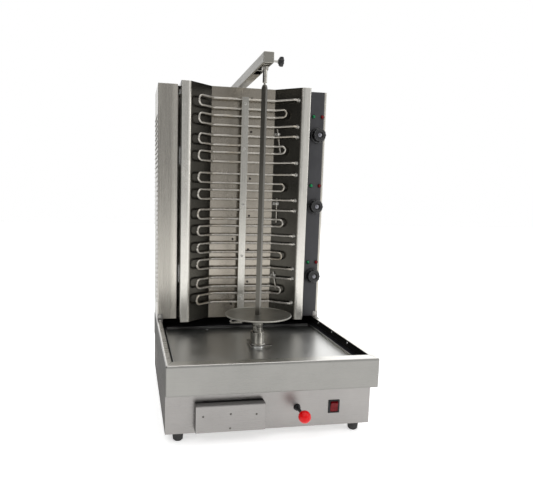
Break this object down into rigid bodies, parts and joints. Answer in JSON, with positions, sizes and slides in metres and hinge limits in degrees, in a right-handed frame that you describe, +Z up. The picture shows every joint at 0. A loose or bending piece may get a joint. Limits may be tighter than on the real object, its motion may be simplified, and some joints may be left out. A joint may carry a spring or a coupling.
{
  "type": "rotisserie oven",
  "caption": "Bench-top electric vertical rotisserie: steel base with drip pan, drawer and push-pull lever, upright spit under an arm, and a splayed wall of tubular heaters.",
  "frame": {"origin": "middle of the bounding box, on the surface the feet stand on", "axes": "+Z up, the front faces -Y, +X to the right as seen from the front"},
  "size_m": [0.53, 0.6954, 0.968],
  "materials": {
    "casing_steel": "brushed",
    "reflector_steel": "polished",
    "pan_steel": "polished",
    "heater_sheath": "satin",
    "turned_steel": "turned",
    "zinc_steel": "zinc plated",
    "gear_steel": "machined",
    "cast_aluminium": "cast",
    "motor_paint": "satin",
    "panel_black": "satin",
    "black_plastic": "satin",
    "switch_black": "gloss",
    "ball_red": "gloss",
    "lens_red": "gloss",
    "lens_green": "gloss",
    "foot_rubber": "matte",
    "terminal_ceramic": "matte"
  },
  "bodies": {
    "frame_and_housing": {"base_casing": "casing_steel", "bottom_plate": "casing_steel", "tray_surround": "casing_steel", "deck_plate": "panel_black", "drip_pan": "pan_steel", "rubber_feet": "foot_rubber", "casing_screws": "zinc_steel", "lever_bush": "black_plastic", "rocker_switch": "switch_black", "cable_gland": "black_plastic", "drawer_rails": "zinc_steel", "carriage_rails": "turned_steel", "arm_tube": "casing_steel", "mast_post": "casing_steel", "left_side_shell": "casing_steel", "right_side_shell": "casing_steel", "back_cover": "casing_steel", "housing_floor": "panel_black", "top_cover": "casing_steel", "housing_brackets": "casing_steel", "reflector": "reflector_steel", "control_panel": "panel_black", "terminal_block": "terminal_ceramic", "heater_bushings": "zinc_steel", "clamp_strip": "casing_steel", "strip_spacers": "zinc_steel", "reflector_screws": "zinc_steel", "sensor_bulbs": "heater_sheath", "bulb_clips": "zinc_steel", "thermostat_bodies": "zinc_steel", "pilot_lamps_green": "lens_green", "pilot_lamps_red": "lens_red", "heater_element_1": "heater_sheath", "heater_element_2": "heater_sheath", "heater_element_3": "heater_sheath", "heater_element_4": "heater_sheath", "heater_element_5": "heater_sheath", "heater_element_6": "heater_sheath"},
    "drive_carriage": {"carriage_plate": "zinc_steel", "gearbox_case": "cast_aluminium", "slot_cover": "casing_steel", "motor_can": "motor_paint", "lever_rod": "black_plastic", "lever_ball": "ball_red"},
    "spit": {"output_shaft": "turned_steel", "drive_wheel": "gear_steel", "coupler": "turned_steel", "spit_disc": "casing_steel", "spit_bar": "casing_steel"},
    "motor_pinion": {"pinion": "gear_steel"},
    "pin_carrier_body": {"pin_carrier": "zinc_steel"},
    "top_pin_body": {"top_pin": "turned_steel"},
    "clamp_knob_body": {"clamp_knob": "black_plastic"},
    "knob_top": {"thermostat_knob_1": "black_plastic"},
    "knob_middle": {"thermostat_knob_2": "black_plastic"},
    "knob_bottom": {"thermostat_knob_3": "black_plastic"},
    "rocker": {"rocker_button": "lens_red"},
    "drawer": {"drawer_box": "casing_steel", "drawer_front": "casing_steel", "drawer_rivets": "zinc_steel"}
  },
  "joints": [
    {"name": "lever_slide", "type": "slide", "parent": "frame_and_housing", "child": "drive_carriage", "axis": [0, 1, 0], "range_m": [0, 0.035]},
    {"name": "spit_spin", "type": "hinge", "parent": "drive_carriage", "child": "spit", "pos_m": [0.006, -0.0843, 0.2], "axis": [0, 0, 1], "continuous": true},
    {"name": "pinion_spin", "type": "hinge", "parent": "drive_carriage", "child": "motor_pinion", "pos_m": [0.0435, -0.0843, 0.11], "axis": [0, 0, 1], "continuous": true},
    {"name": "carrier_slide", "type": "slide", "parent": "frame_and_housing", "child": "pin_carrier_body", "axis": [0, 1, 0], "range_m": [0, 0.035]},
    {"name": "pin_lift", "type": "slide", "parent": "pin_carrier_body", "child": "top_pin_body", "axis": [0, 0, 1], "range_m": [0, 0.016]},
    {"name": "clamp_turn", "type": "hinge", "parent": "pin_carrier_body", "child": "clamp_knob_body", "pos_m": [0.006, -0.0843, 0.954], "axis": [1, 0, 0], "range_deg": [0, 360]},
    {"name": "rocker_press", "type": "hinge", "parent": "frame_and_housing", "child": "rocker", "pos_m": [0.1655, -0.2703, 0.074], "axis": [-1, 0, 0], "range_deg": [0, 20]},
    {"name": "drawer_slide", "type": "slide", "parent": "frame_and_housing", "child": "drawer", "axis": [0, -1, 0], "range_m": [0, 0.25]},
    {"name": "knob_top_turn", "type": "hinge", "parent": "frame_and_housing", "child": "knob_top", "pos_m": [0.237, 0.1277, 0.794], "axis": [0, 1, 0], "range_deg": [0, 270]},
    {"name": "knob_middle_turn", "type": "hinge", "parent": "frame_and_housing", "child": "knob_middle", "pos_m": [0.237, 0.1277, 0.572], "axis": [0, 1, 0], "range_deg": [0, 270]},
    {"name": "knob_bottom_turn", "type": "hinge", "parent": "frame_and_housing", "child": "knob_bottom", "pos_m": [0.237, 0.1277, 0.348], "axis": [0, 1, 0], "range_deg": [0, 270]}
  ],
  "couplings": [
    {"joint": "pinion_spin", "follows": "spit_spin", "ratio": -4},
    {"joint": "carrier_slide", "follows": "lever_slide", "ratio": 1}
  ]
}
